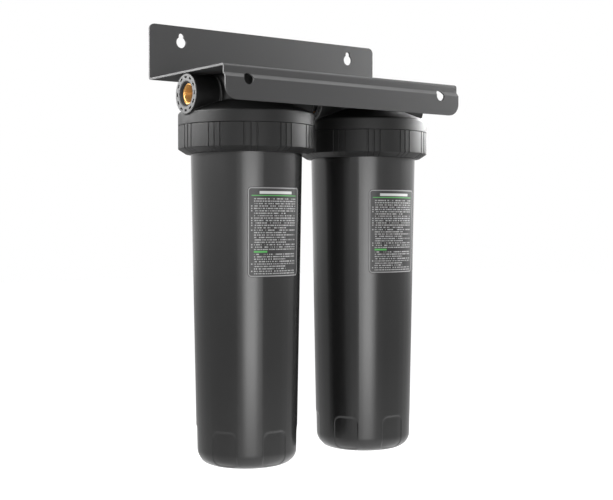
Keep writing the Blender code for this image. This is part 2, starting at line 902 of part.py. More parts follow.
# Cartridge
def build_cartridge(stage, empty):
    media_top = cap_top - cartridge_cap_wall - seat_gap
    media_bottom = cap_bottom + cartridge_cap_wall + seat_gap
    core_inner = core_outer_radius - core_wall
    media_inner = core_outer_radius + seat_gap
    finish(turned(
        stage + "_cartridge_media",
        [
            (media_inner, media_top),
            (media_outer_radius, media_top),
            (media_outer_radius, media_bottom),
            (media_inner, media_bottom),
        ],
        small_steps, model, closed=True, parent=empty,
    ), media_white)
    finish(turned(
        stage + "_cartridge_core",
        [
            (core_inner, media_top),
            (core_outer_radius, media_top),
            (core_outer_radius, media_bottom),
            (core_inner, media_bottom),
        ],
        small_steps, model, closed=True, parent=empty,
    ), core_plastic)
    top_rim = cap_top - cartridge_cap_height
    finish(turned(
        stage + "_top_cap",
        [
            (core_inner, cap_top),
            (cartridge_radius, cap_top),
            (cartridge_radius, top_rim),
            (cap_rim_radius, top_rim),
            (cap_rim_radius, cap_top - cartridge_cap_wall),
            (core_inner, cap_top - cartridge_cap_wall),
        ],
        small_steps, model, closed=True, parent=empty,
    ), cap_plastic)
    bottom_rim = cap_bottom + cartridge_cap_height
    finish(turned(
        stage + "_bottom_cap",
        [
            (core_inner, cap_bottom + cartridge_cap_wall),
            (cap_rim_radius, cap_bottom + cartridge_cap_wall),
            (cap_rim_radius, bottom_rim),
            (cartridge_radius, bottom_rim),
            (cartridge_radius, cap_bottom),
            (core_inner, cap_bottom),
        ],
        small_steps, model, closed=True, parent=empty,
    ), cap_plastic)
    for word, high in (("top", cartridge_top), ("bottom", cap_bottom - seat_gap)):
        finish(turned(
            stage + "_" + word + "_gasket",
            [
                (gasket_inner_radius, high),
                (gasket_outer_radius, high),
                (gasket_outer_radius, high - gasket_thickness),
                (gasket_inner_radius, high - gasket_thickness),
            ],
            gasket_steps, model, closed=True, parent=empty,
        ), black_rubber)


# Brass fittings
def build_insert(name, side, empty):
    """A threaded sleeve's body, seated in its pocket with its mouth towards the port's face."""
    front = -port_recess_depth - seat_gap
    back = front - insert_length
    insert = turned(
        name,
        [
            (insert_bore_radius + insert_lead_in, front),
            (insert_radius - insert_lead_in, front),
            (insert_radius, front - insert_lead_in),
            (insert_radius, back),
            (insert_bore_radius, back),
            (insert_bore_radius, front - insert_lead_in),
        ],
        small_steps, model, closed=True, parent=empty,
        location=(side * port_reach, 0, port_axis),
        rotation=(0, side * math.pi / 2, 0),
    )
    return finish(insert, brass)


def build_nipple():
    """A hexagon between the two port faces with a plain stub into each insert."""
    outer = insert_bore_radius - seat_gap
    reach = port_face_gap / 2 + port_recess_depth + nipple_reach
    place = {"location": (0, axis_y, shelf_top + port_axis), "rotation": along_x}
    nipple = rod("connecting_nipple", outer, -reach, reach, small_steps, model, **place)
    half = port_face_gap / 2 - nipple_hex_margin
    boolean(nipple, rod(
        "nipple_hexagon", nipple_hex_width / math.sqrt(3), -half, half, 6, cutters, **place,
    ), "UNION")
    boolean(nipple, rod(
        "nipple_bore", outer - nipple_wall, -reach - cut_overrun, reach + cut_overrun,
        small_steps, cutters, **place,
    ))
    return finish(nipple, head_plastic)


# Assembly
build_bracket()
build_nipple()
for number, side in ((1, -1), (2, 1)):
    stage = "stage" + str(number)
    axis = bpy.data.objects.new(stage + "_axis", None)
    link(axis, model, location=(side * stage_pitch / 2, axis_y, shelf_top))
    build_head(stage, axis)
    for count, offset in enumerate(screw_offsets(), 1):
        build_screw(stage + "_screw_" + str(count), offset, axis)
    build_insert(stage + "_inlet_insert", -1, axis)
    build_insert(stage + "_outlet_insert", 1, axis)
    build_oring(stage, axis)
    build_cartridge(stage, axis)
    build_sump(stage, axis)
    build_label(stage, axis)
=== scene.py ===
"""The looks of the two-stage sediment water filter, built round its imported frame.

Metres, +Z up, -Y to the front. A stage's pieces are built on that stage's own axis, with heights
measured from the top of the bracket's shelf, and are then moved to the stage's place.
"""

import math

import bmesh
import bpy
import numpy as np
from mathutils import Matrix, Vector


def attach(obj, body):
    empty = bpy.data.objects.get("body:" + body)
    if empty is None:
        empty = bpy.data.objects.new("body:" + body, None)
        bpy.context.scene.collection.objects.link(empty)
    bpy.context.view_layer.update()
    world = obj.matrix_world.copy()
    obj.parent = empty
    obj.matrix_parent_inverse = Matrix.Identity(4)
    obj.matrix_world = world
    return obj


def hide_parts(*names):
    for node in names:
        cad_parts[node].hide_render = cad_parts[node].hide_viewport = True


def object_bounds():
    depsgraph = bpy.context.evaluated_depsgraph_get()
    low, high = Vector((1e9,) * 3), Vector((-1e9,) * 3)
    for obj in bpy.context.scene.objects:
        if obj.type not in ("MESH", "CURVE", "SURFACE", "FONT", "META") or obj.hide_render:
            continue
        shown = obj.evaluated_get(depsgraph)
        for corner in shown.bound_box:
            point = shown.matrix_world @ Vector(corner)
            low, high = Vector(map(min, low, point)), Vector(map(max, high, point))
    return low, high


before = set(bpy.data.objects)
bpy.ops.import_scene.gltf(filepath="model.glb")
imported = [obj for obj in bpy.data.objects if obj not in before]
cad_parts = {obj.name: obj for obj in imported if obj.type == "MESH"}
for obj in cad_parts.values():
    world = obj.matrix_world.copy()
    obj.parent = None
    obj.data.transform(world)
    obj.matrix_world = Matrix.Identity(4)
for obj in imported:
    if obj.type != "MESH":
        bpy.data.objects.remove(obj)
cad_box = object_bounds()

# Places
half_pitch = 0.1125
axis_y = -0.107
shelf_top = -0.0415
stages = (
    ("stage1", (-half_pitch, axis_y, shelf_top)),
    ("stage2", (half_pitch, axis_y, shelf_top)),
)

# Bracket
sheet = 0.003
bend_inner = 0.0015
bracket_length = 0.438
plate_height = 0.083
plate_corner = 0.009
shelf_depth = 0.209
flange_height = 0.0493
flange_corner = 0.019
joggle_drop = 0.0125
joggle_height = 0.0055
joggle_step = 0.0046
joggle_fillets = (0.0012, 0.0022)
keyhole_x = 0.1638
keyhole_z = 0.0585
keyhole_radius = 0.0085
keyhole_slot = 0.0045
keyhole_rise = 0.0095
flange_hole_x = 0.1805
flange_hole_z = -0.0195
flange_hole_radius = 0.008
shelf_hole_x = 0.2066
shelf_hole_y = -0.023
shelf_hole_radius = 0.0045
sheet_edge = 0.0003

# Head, heights from the shelf's top
head_top = -0.0033
turret_radius = 0.066
dome_top = -0.042
skirt_top = -0.056
skirt_bottom = -0.076
collar_radius = 0.102
port_axis = -0.033
port_radius = 0.029
port_reach = 0.105
port_cap = 0.0028
ring_radius = 0.032
ring_reach = 0.064
ring_edge = 0.0018
web_half = 0.022
web_reach = 0.091
recess_radius = 0.0192
insert_radius = 0.0165
insert_front = 0.0043
insert_length = 0.024
insert_bore = 0.0124
pipe_pitch = 0.001814
bore_radius = 0.0125
chamber_radius = 0.050
chamber_roof = -0.012
outlet_tube = 0.022
outlet_tube_bottom = -0.0584
outlet_drop = 0.014
inner_pipe = 0.017
spigot_roof = -0.0578
spigot_inner = 0.077
spigot_bottom = -0.106
thread_root = 0.0895
thread_height = 0.0016
thread_lead = 0.00635
oring_circle = 0.0833
oring_section = 0.0025
oring_low = spigot_bottom - 0.001

# Sump, heights from the shelf's top
collar_top = -0.0763
collar_bore = 0.0923
ledge = -0.1073
collar_bottom = -0.117
chamfer_width = 0.011
chamfer_height = 0.007
groove_width = 0.0021
groove_depth = 0.0009
groove_pitch = 0.0092
groove_groups = 12
sump_top_radius = 0.0833
sump_foot_radius = 0.075
sump_bottom = -0.5785
sump_fillet = 0.022
sump_wall = 0.0068
sump_floor = -0.5705
panels = 6
panel_low = 0.0035
panel_high = 0.0555
panel_half = 0.0195
panel_corner = 0.010
panel_depth = 0.0010

# Cartridge, heights from the shelf's top
cartridge_top = -0.0587
cartridge_bottom = -0.5667
cap_radius = 0.05715
cap_wall = 0.004
cap_skirt = 0.010
cap_groove_inner = 0.033
cap_groove_outer = 0.048
cap_groove_slope = 0.001
cap_groove_depth = 0.001
media_radius = 0.0527
pleats = 88
pleat_depth = 0.0068
core_radius = 0.017
core_wall = 0.0022
gasket = 0.003
gasket_inner = 0.0155
gasket_outer = 0.031
gap = 0.0003

# Labels
label_top = -0.1675
label_bottom = -0.2975
label_width = 0.093
label_corner = 0.006

# Floor and light
floor_drop = 0.50
floor_half = 14.0
floor_seen = 0.67
floor_mirrored = 0.10
fill_strength = 0.42

# The photograph's camera
camera_place = (-1.06374, -1.54448, -0.26013)
camera_turn = (88.621, 0.0, -36.481)
camera_lens = 67.344
camera_sensor = 36.0


# Mesh helpers
def filled(thing, **settings):
    """The thing, with those attributes set."""
    for key, value in settings.items():
        setattr(thing, key, value)
    return thing


def linked(name, data):
    """A new object of the scene with that data."""
    made = bpy.data.objects.new(name, data)
    bpy.context.scene.collection.objects.link(made)
    return made


def rounded(corners, steps=4, closed=True):
    """An outline through corners (x, y, fillet radius), with each corner rounded."""
    points = []
    last = len(corners) - 1
    for i, (x, y, radius) in enumerate(corners):
        corner = Vector((x, y))
        if radius == 0 or (not closed and i in (0, last)):
            points.append((x, y))
            continue
        back = (Vector(corners[i - 1][:2]) - corner).normalized()
        ahead = (Vector(corners[(i + 1) % len(corners)][:2]) - corner).normalized()
        half = back.angle(ahead) / 2
        reach = radius / math.tan(half)
        centre = corner + (back + ahead).normalized() * (radius / math.sin(half))
        start = corner + back * reach - centre
        end = corner + ahead * reach - centre
        sweep = start.angle(end)
        for k in range(steps + 1):
            a = sweep * k / steps
            spot = (start * math.sin(sweep - a) + end * math.sin(a)) / math.sin(sweep)
            points.append(tuple(centre + spot))
    return points


def refined(path, step, closed=False):
    """The path with points added so that none of its straight runs is longer than step."""
    points = []
    ends = np.array([*path, path[0]] if closed else path)
    for a, b in zip(ends[:-1], ends[1:]):
        parts = max(1, math.ceil(float(np.linalg.norm(b - a)) / step))
        points += [tuple(a + (b - a) * k / parts) for k in range(parts)]
    return points if closed else points + [path[-1]]


def even(count):
    """Angles spread evenly round the axis."""
    return np.arange(count) * (math.tau / count)


def folded(angles, count):
    """Angles measured from the nearest of count even directions."""
    period = math.tau / count
    return (angles + period / 2) % period - period / 2


def wave(phase):
    """A zigzag that is 1 at whole phases and 0 halfway between them."""
    return np.abs(phase % 1 - 0.5) * 2


def smoothstep(low, high, value):
    share = np.clip((value - low) / (high - low), 0, 1)
    return share * share * (3 - 2 * share)


def circle(x, y, radius, steps=48):
    return [(x + radius * math.cos(a), y + radius * math.sin(a)) for a in even(steps)]


def arc(x, y, radius, start, end, steps):
    """Points on an arc from start to end, in degrees."""
    turns = np.radians(np.linspace(start, end, steps + 1))
    return [(x + radius * math.cos(t), y + radius * math.sin(t)) for t in turns]


def wound(radius, height, angles):
    """Points round the axis. Radius and height are each one number, a column or a grid."""
    radius, height = np.broadcast_arrays(radius + 0 * angles, height + 0 * angles)
    return np.stack([radius * np.cos(angles), radius * np.sin(angles), height], -1)


def solid(name, points, faces):
    mesh = bpy.data.meshes.new(name)
    mesh.from_pydata(points, [], faces)
    shape = bmesh.new()
    shape.from_mesh(mesh)
    bmesh.ops.recalc_face_normals(shape, faces=shape.faces)
    shape.to_mesh(mesh)
    shape.free()
    return linked(name, mesh)


def skin(name, grid, closed=False, poles=(), ends=()):
    """A closed skin over grid[row, column]. Its columns go round, and its rows too if closed.

    Otherwise it ends in points on the axis at the heights of poles, or in the faces of ends."""
    rows, columns, _ = grid.shape
    index = np.arange(rows * columns).reshape(rows, columns)
    right = np.roll(index, -1, axis=1)
    below = np.roll(index, -1, axis=0)
    quads = np.stack([index, right, np.roll(right, -1, axis=0), below], -1)
    if not closed:
        quads = quads[:-1]
    faces = [*quads.reshape(-1, 4).tolist(), *ends]
    points = grid.reshape(-1, 3).tolist()
    for pole, row in zip(poles, (0, rows - 1)):
        faces += [[index[row, j], right[row, j], len(points)] for j in range(columns)]
        points.append([0, 0, pole])
    return solid(name, points, faces)


def turned(name, outline, angles):
    """A closed outline of (radius, height) turned round Z."""
    return skin(name, wound(*np.hsplit(np.array(outline, float), 2), angles), closed=True)


def prism(name, outline, start, end, matrix):
    """A flat outline in XY made thick along Z from start to end, and moved by the matrix."""
    count = len(outline)
    points = [(x, y, z) for z in (start, end) for x, y in outline]
    faces = [list(range(count)), list(range(count, 2 * count))]
    faces += [[i, (i + 1) % count, count + (i + 1) % count, count + i] for i in range(count)]
    piece = solid(name, points, faces)
    piece.data.transform(matrix)
    return piece


def smooth(piece, angle=35, weighted=True):
    """Smooth faces with sharp edges past that angle, shaded by the larger faces if weighted."""
    piece.data.shade_smooth()
    piece.data.set_sharp_from_angle(angle=math.radians(angle))
    if weighted:
        normals = piece.modifiers.new("normals", "WEIGHTED_NORMAL")
        filled(normals, keep_sharp=True, weight=60)
    return piece


def apply(piece):
    """Makes what the modifiers give the piece's own mesh."""
    bpy.context.view_layer.update()
    evaluated = piece.evaluated_get(bpy.context.evaluated_depsgraph_get())
    mesh = bpy.data.meshes.new_from_object(evaluated)
    piece.modifiers.clear()
    piece.data = mesh


def freed(piece):
    """The piece's mesh, without the piece."""
    mesh = piece.data
    bpy.data.objects.remove(piece, do_unlink=True)
    return mesh


def finished(piece, angle):
    """The mesh of a piece, smoothed up to that angle, without the piece."""
    apply(smooth(piece, angle))
    return freed(piece)


# Materials
class Nodes:
    """A small builder for the node tree of a material or a world."""

    def __init__(self, owner):
        owner.use_nodes = True
        self.owner = owner
        self.tree = owner.node_tree

    def plug(self, value, socket):
        if isinstance(value, bpy.types.NodeSocket):
            self.tree.links.new(value, socket)
        else:
            socket.default_value = value

    def fill(self, made, inputs):
        for key, value in inputs.items():
            self.plug(value, made.inputs[key.replace("_", " ")])

    def node(self, kind, **inputs):
        made = self.tree.nodes.new("ShaderNode" + kind)
        self.fill(made, inputs)
        return made

    def ordered(self, kind, *values):
        """The output of a node whose inputs take the values in their order."""
        made = self.node(kind)
        for value, socket in zip(values, made.inputs):
            self.plug(value, socket)
        return made.outputs[0]

    def math(self, operation, first, *others):
        """The operation on one value, or carried on through two or more."""
        for other in others or (0.5,):
            made = filled(self.node("Math"), operation=operation)
            self.plug(first, made.inputs[0])
            self.plug(other, made.inputs[1])
            first = made.outputs[0]
        return first

    def place(self, scale=(1, 1, 1)):
        where = self.node("TexCoord").outputs["Object"]
        if scale == (1, 1, 1):
            return where
        return self.node("Mapping", Vector=where, Scale=scale).outputs[0]

    def noise(self, scale, detail=2.0, roughness=0.5, stretch=(1, 1, 1)):
        return self.node(
            "TexNoise", Vector=self.place(stretch), Scale=scale, Detail=detail,
            Roughness=roughness,
        ).outputs["Fac"]

    def ranged(self, value, low, high, start=0.3, end=0.7):
        """value, from start to end, made to run from low to high."""
        return self.node(
            "MapRange", Value=value, From_Min=start, From_Max=end, To_Min=low, To_Max=high,
        ).outputs[0]

    def uneven(self, broad, low, high, fine, spread):
        """A number that broad takes from low to high and fine changes by up to spread."""
        return self.math("ADD", self.ranged(broad, low, high), self.ranged(fine, -spread, spread))

    def mixed(self, share, first, second):
        made = filled(self.node("Mix"), data_type="RGBA")
        self.plug(share, made.inputs["Factor"])
        for value, socket in ((first, made.inputs[6]), (second, made.inputs[7])):
            self.plug((*value, 1) if isinstance(value, tuple) else value, socket)
        return made.outputs[2]

    def between(self, noise, first, second):
        """A colour that a noise takes from the first to the second."""
        return self.mixed(self.ranged(noise, 0, 1), first, second)

    def rays(self):
        """Whether the camera sees a point, also through something clear, or a mirror does."""
        path = self.node("LightPath").outputs
        seen = self.math("MAXIMUM", path["Is Camera Ray"], path["Is Transmission Ray"])
        return seen, path["Is Glossy Ray"]


class Paint(Nodes):
    """A material on a Principled shader."""

    def __init__(self, name, colour, roughness, **inputs):
        super().__init__(bpy.data.materials.new(name))
        self.shader = self.tree.nodes["Principled BSDF"]
        self.surface(Base_Color=(*colour, 1), Roughness=roughness, **inputs)
        self.owner.diffuse_color = (*colour, 1)

    def surface(self, **inputs):
        """Sets what the shader gets, and gives the material."""
        self.fill(self.shader, inputs)
        return self.owner

    def bump(self, height, distance):
        """Adds a fine relief to those that are there."""
        made = self.node("Bump", Strength=1.0, Distance=distance, Height=height)
        earlier = self.shader.inputs["Normal"].links
        if earlier:
            self.plug(earlier[0].from_socket, made.inputs["Normal"])
        self.surface(Normal=made.outputs[0])


def grey(value):
    return (value, value, value)


def shade(colour, share):
    return tuple(c * share for c in colour)


def moulded_plastic(name, colour, roughness, spread=0.04, grain=0.00002, specular=0.5):
    """Moulded plastic: a fine even grain, faint flow marks and faint changes of shade."""
    made = Paint(name, colour, roughness, Specular_IOR_Level=specular)
    fine = made.noise(2600, 2, 0.6)
    broad = made.noise(14, 3, 0.55, (1, 1, 0.35))
    made.bump(fine, grain)
    return made.surface(
        Roughness=made.uneven(broad, roughness - spread, roughness + spread, fine, spread / 2),
        Base_Color=made.between(broad, shade(colour, 0.90), shade(colour, 1.08)),
    )


def port_face_plastic():
    """The moulded plastic of a port's end, with painted light on its flat face alone: a lighter
    matt grey for the light that face catches.
    """
    made = Paint("port_face_plastic", grey(0.09), 0.65, Specular_IOR_Level=0.25)
    along = made.math("ABSOLUTE", made.node("SeparateXYZ", Vector=made.place()).outputs[0])
    # Painted light: only the flat end face gets the lighter grey, standing in for the light it
    # catches
    lit_face_mask = made.ranged(along, 0, 1, port_reach - 0.0012, port_reach - 0.0004)
    fine = made.noise(1500, 3, 0.6)
    painted_lit_grey = made.between(fine, grey(0.080), grey(0.105))
    made.bump(fine, 0.00002)
    return made.surface(
        Base_Color=made.mixed(lit_face_mask, grey(0.004), painted_lit_grey),
        Roughness=made.ranged(fine, 0.58, 0.70),
    )


def powder_coat():
    """Satin powder coat: the orange-peel surface and the specks of a baked coat, dull edge-on."""
    made = Paint("powder_coat", (0.026, 0.026, 0.0265), 0.53, Specular_IOR_Level=0.25)
    peel = made.noise(620, 2, 0.5)
    speck = made.noise(2400, 2, 0.6)
    broad = made.noise(9, 3, 0.55)
    facing = made.node("LayerWeight").outputs["Facing"]
    made.bump(peel, 0.00005)
    made.bump(speck, 0.00001)
    return made.surface(
        Roughness=made.math(
            "ADD", made.uneven(broad, 0.49, 0.57, speck, 0.04),
            made.ranged(facing, 0, 0.45, 0.55, 0.92),
        ),
        Base_Color=made.mixed(
            made.math("MULTIPLY", made.ranged(speck, 0, 1), made.ranged(broad, 0.6, 1)),
            (0.023, 0.023, 0.0235), (0.030, 0.030, 0.0305),
        ),
    )


def metal(name, colour, roughness, stretch):
    """Turned metal: fine tool marks round the axis, with faint tarnish."""
    made = Paint(name, colour, roughness, Metallic=1.0)
    broad = made.noise(120, 3, 0.6)
    fine = made.noise(700, 2, 0.5, stretch)
    made.bump(fine, 0.000004)
    return made.surface(
        Roughness=made.uneven(broad, roughness - 0.02, roughness + 0.03, fine, 0.02),
        Base_Color=made.between(broad, shade(colour, 0.94), colour),
    )


def fibre():
    """Sediment media: fine tangled fibres, white with a warm cast."""
    made = Paint("fibre_media", (0.84, 0.84, 0.81), 0.92, Sheen_Weight=0.2, Sheen_Roughness=0.6)
    tangle = made.noise(700, 4, 0.7, (1, 1, 0.3))
    made.bump(tangle, 0.0004)
    return made.surface(
        Base_Color=made.between(tangle, (0.74, 0.74, 0.71), (0.90, 0.90, 0.87)),
        Roughness=made.ranged(made.noise(90, 3, 0.6), 0.86, 0.97),
    )


def rubber():
    made = Paint("rubber", grey(0.018), 0.6)
    fine = made.noise(1800, 3, 0.6)
    made.bump(fine, 0.00002)
    return made.surface(
        Roughness=made.ranged(fine, 0.52, 0.68),
        Base_Color=made.between(made.noise(60, 3), grey(0.014), grey(0.024)),
    )


def dashes(made, across, row, scale):
    """Breaks a row into runs of uneven length, about 1/scale of a metre each."""
    spot = made.node(
        "CombineXYZ", X=made.math("MULTIPLY", across, scale), Y=made.math("MULTIPLY", row, 7.3),
    )
    noise = made.node("TexNoise", Vector=spot.outputs[0], Scale=1, Detail=0)
    return made.ranged(noise.outputs["Fac"], 0, 1, 0.42, 0.47)


def label_print():
    """A charcoal film with a printed frame, a green rule, a green mark, a plain bar for the
    heading and rows of broken dashes, which spell nothing."""
    made = Paint("label_print", (0.008, 0.008, 0.0084), 0.42)
    flat = filled(made.node("UVMap"), uv_map="print").outputs[0]
    split = made.node("SeparateXYZ", Vector=flat)

    def minus(first, second):
        return made.math("SUBTRACT", first, second)

    def band(value, middle, half, soft=0.00015):
        """1 within half of the middle and 0 outside it."""
        away = made.math("ABSOLUTE", minus(value, middle))
        return made.ranged(away, 1, 0, half - soft, half + soft)

    def all_of(*shares):
        return made.math("MULTIPLY", *shares)

    def any_of(*shares):
        return made.math("MAXIMUM", *shares)

    # Where a point lies, from the label's middle, and how far it is past the corners' centres
    height = label_top - label_bottom
    across = made.math("MULTIPLY", minus(split.outputs[0], 0.5), label_width)
    up = made.math("MULTIPLY", minus(split.outputs[1], 0.5), height)
    past = [
        any_of(minus(made.math("ABSOLUTE", value), size / 2 - label_corner), 0)
        for value, size in ((across, label_width), (up, height))
    ]
    reach = made.math("SQRT", made.math("ADD", *(all_of(p, p) for p in past)))
    border = band(reach, label_corner - 0.0016, 0.0006)

    top = height / 2
    middle = -0.001
    rule = all_of(band(up, top - 0.0125, 0.0006), band(across, middle, 0.0395))
    heading = all_of(band(up, top - 0.0082, 0.0020), band(across, middle, 0.028))

    # Rows of dashes, some of them shorter and some with a bullet, and a mark in a gap of theirs
    row_pitch = 0.00347
    row = made.math("DIVIDE", minus(up, -top + 0.0035), row_pitch)
    number = made.math("FLOOR", row)
    within = minus(row, number)
    chance = filled(made.node("TexWhiteNoise"), noise_dimensions="1D")
    made.plug(number, chance.inputs["W"])
    lot = chance.outputs["Value"]
    row_end = minus(0.0375, made.ranged(lot, 0, 0.022, 0.74, 0.76))
    rows = all_of(
        band(within, 0.5, 0.25, 0.06),
        made.ranged(minus(across, row_end), 1, 0, -0.0002, 0.0002),
        made.ranged(across, 0, 1, -0.0372, -0.0368),
        dashes(made, across, number, 620),
        made.ranged(dashes(made, across, number, 3100), 0.45, 1, 0, 1),
    )
    bullets = all_of(
        band(within, 0.5, 0.24, 0.06), band(across, -0.0402, 0.0009),
        made.ranged(lot, 1, 0, 0.38, 0.40),
    )
    mark_height = -0.0283
    mark = all_of(band(up, mark_height, 0.0013), band(across, -0.0272, 0.0100))
    mark_gap = all_of(band(up, mark_height, 0.0026), band(across, 0, 0.045))
    block = band(up, -0.0055, top - 0.0097)
    script = all_of(any_of(rows, bullets), block, minus(1, mark_gap))

    green = any_of(rule, mark)
    inked = made.between(
        made.noise(14, 3, 0.55), (0.006, 0.006, 0.0063), (0.009, 0.009, 0.0094),
    )
    for share, ink in (
        (border, grey(0.26)), (script, grey(0.33)), (heading, grey(0.44)),
        (green, (0.055, 0.30, 0.060)),
    ):
        inked = made.mixed(share, inked, ink)
    printed = any_of(border, heading, script, green)
    made.bump(printed, 0.00002)
    return made.surface(Base_Color=inked, Roughness=made.ranged(printed, 0.40, 0.48, 0, 1))


paint = powder_coat()
head_plastic = moulded_plastic("head_plastic_fine", grey(0.004), 0.50, specular=0.29)
sump_plastic = moulded_plastic("sump_plastic_fine", grey(0.008), 0.23, 0.02, 0.000003, 0.53)
face_plastic = port_face_plastic()
brass = metal("turned_brass", (0.56, 0.305, 0.098), 0.38, (6, 1, 1))
zinc = metal("zinc_plate", (0.40, 0.41, 0.42), 0.38, (1, 1, 6))
seal_rubber = rubber()
media = fibre()
core_white = moulded_plastic("core_white", (0.78, 0.79, 0.80), 0.5)
cap_blue = moulded_plastic("cap_blue", (0.13, 0.22, 0.42), 0.42)
label_material = label_print()


def dress(piece, material, body, slot, *nodes, place=(0, 0, 0)):
    """Gives a piece its material, place and body, and hides the CAD nodes that it stands for. The
    slot is not used.
    """
    piece.data.materials.clear()
    piece.data.materials.append(material)
    piece.location = place
    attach(piece, body)
    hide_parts(*nodes)


# Building the bracket
def sheet_profile():
    """The folded sheet's section as (depth, height) points, depth growing to the front."""
    bend_outer = bend_inner + sheet
    joggle_inner, joggle_outer = joggle_fillets
    front = sheet + shelf_depth
    step_bottom = -joggle_drop - joggle_height
    face = front + joggle_step
    return rounded([
        (0, plate_height, 0), (0, -sheet, bend_outer),
        (front - sheet, -sheet, bend_inner),
        (front - sheet, -joggle_drop, joggle_outer), (face - sheet, step_bottom, joggle_inner),
        (face - sheet, -flange_height, 0), (face, -flange_height, 0),
        (face, step_bottom, joggle_outer), (front, -joggle_drop, joggle_inner),
        (front, 0, bend_outer), (sheet, 0, bend_inner), (sheet, plate_height, 0),
    ], 7)


def corner_outline(edge, radius, up, side):
    """What lies outside a rounded corner of the sheet."""
    half = bracket_length / 2
    over = 0.002
    x, y = side * (half - radius), edge - up * radius
    rim = [
        (x + side * radius * math.cos(a), y + up * radius * math.sin(a))
        for a in np.linspace(0, math.pi / 2, 13)
    ]
    out_x, out_y = side * (half + over), edge + up * over
    return [(out_x, rim[0][1])] + rim + [(rim[-1][0], out_y), (out_x, out_y)]


def build_bracket():
    half = bracket_length / 2
    front = sheet + shelf_depth
    lift = Matrix.Translation((0, 0, shelf_top))
    upright = Matrix.Rotation(math.pi / 2, 4, "X")
    along = Matrix.Rotation(math.pi / 2, 4, "Z") @ upright
    faces = lift @ upright
    bracket = prism(
        "bracket", [(-d, z) for d, z in sheet_profile()], -half, half, lift @ along,
    )
    plate = (-0.004, 0.008)
    meet = math.degrees(math.asin(keyhole_slot / keyhole_radius))
    cutters = []
    for side in (-1, 1):
        x = side * keyhole_x
        keyhole = arc(x, keyhole_z, keyhole_radius, 90 + meet, 450 - meet, 36)
        keyhole += arc(x, keyhole_z + keyhole_rise, keyhole_slot, 0, 180, 16)
        flange_hole = circle(side * flange_hole_x, flange_hole_z, flange_hole_radius)
        shelf_hole = circle(side * shelf_hole_x, shelf_hole_y, shelf_hole_radius, 32)
        top_corner = corner_outline(plate_height, plate_corner, 1, side)
        low_corner = corner_outline(-flange_height, flange_corner, -1, side)
        cutters += [
            prism("plate_corner", top_corner, *plate, faces),
            prism("flange_corner", low_corner, front - 0.008, front + 0.010, faces),
            prism("keyhole", keyhole, *plate, faces),
            prism("flange_hole", flange_hole, front - 0.006, front + 0.008, faces),
            prism("shelf_hole", shelf_hole, -0.006, 0.003, lift),
        ]
    for cutter in cutters:
        taken = bracket.modifiers.new(cutter.name, "BOOLEAN")
        filled(taken, operation="DIFFERENCE", solver="EXACT", object=cutter)
    apply(bracket)
    for cutter in cutters:
        freed(cutter)
    filled(
        bracket.modifiers.new("edges", "BEVEL"), width=sheet_edge, segments=3,
        limit_method="ANGLE", angle_limit=math.radians(50), harden_normals=False,
    )
    apply(bracket)
    # Cutting and bevelling leave a few points a hair outside the sheet's own faces
    for vertex in bracket.data.vertices:
        vertex.co.x = min(max(vertex.co.x, -half), half)
        vertex.co.y = min(vertex.co.y, 0)
        vertex.co.z = min(vertex.co.z, shelf_top + plate_height)
    smooth(bracket, 60)
    dress(bracket, paint, "frame", "bracket_paint", "mounting_bracket")


# Building the heads
def head_path():
    """The turned shell's outer side as (radius, height), from its top to its bottom."""
    return np.array(rounded([
        (0, head_top, 0), (turret_radius, head_top, 0.002),
        (turret_radius, dome_top, 0.005),
        (collar_radius - 0.0022, skirt_top, 0.0030), (collar_radius, skirt_top - 0.0024, 0.0026),
        (collar_radius, skirt_bottom, 0.0003), (0, skirt_bottom, 0),
    ], 6, closed=False))


def turned_distance(path, points):
    """The signed distance of points to the form that a path makes, turned round Z."""
    reach = 0.122
    margin = 0.012
    step = 0.0005
    radii = np.arange(0, reach, step)
    heights = np.arange(path[:, 1].min() - margin, path[:, 1].max() + margin, step)
    r, z = np.meshgrid(radii, heights, indexing="ij")
    best = np.full(r.shape, 1e9)
    inside = np.zeros(r.shape, bool)
    for (ax, ay), (bx, by) in zip(path[:-1], path[1:]):
        dx, dy = bx - ax, by - ay
        length = dx * dx + dy * dy
        if length == 0:
            continue
        t = np.clip(((r - ax) * dx + (z - ay) * dy) / length, 0, 1)
        best = np.minimum(best, np.hypot(r - ax - t * dx, z - ay - t * dy))
        if dy:
            crosses = (ay > z) != (by > z)
            inside ^= crosses & (r < ax + (z - ay) * dx / dy)
    table = np.where(inside, -best, best)
    where_r = np.hypot(points[..., 0], points[..., 1]) / step
    where_z = (points[..., 2] - heights[0]) / step
    i = np.clip(where_r.astype(int), 0, len(radii) - 2)
    k = np.clip(where_z.astype(int), 0, len(heights) - 2)
    u = np.clip(where_r - i, 0, 1)
    v = np.clip(where_z - k, 0, 1)
    low = table[i, k] * (1 - u) + table[i + 1, k] * u
    high = table[i, k + 1] * (1 - u) + table[i + 1, k + 1] * u
    return low * (1 - v) + high * v


def bounded(*sides):
    """The signed distance to what lies inside all sides, from the distance to each."""
    sides = np.stack(np.broadcast_arrays(*sides))
    return np.minimum(sides.max(0), 0) + np.sqrt((np.maximum(sides, 0) ** 2).sum(0))


def joined(a, b, blend):
    """The union of two distances with a fillet of about blend."""
    share = np.clip(0.5 + 0.5 * (b - a) / blend, 0, 1)
    return b + (a - b) * share - blend * share * (1 - share)


def removed(a, b, blend):
    """What is left of a when b is taken out, with an edge of about blend."""
    return -joined(-a, b, blend)


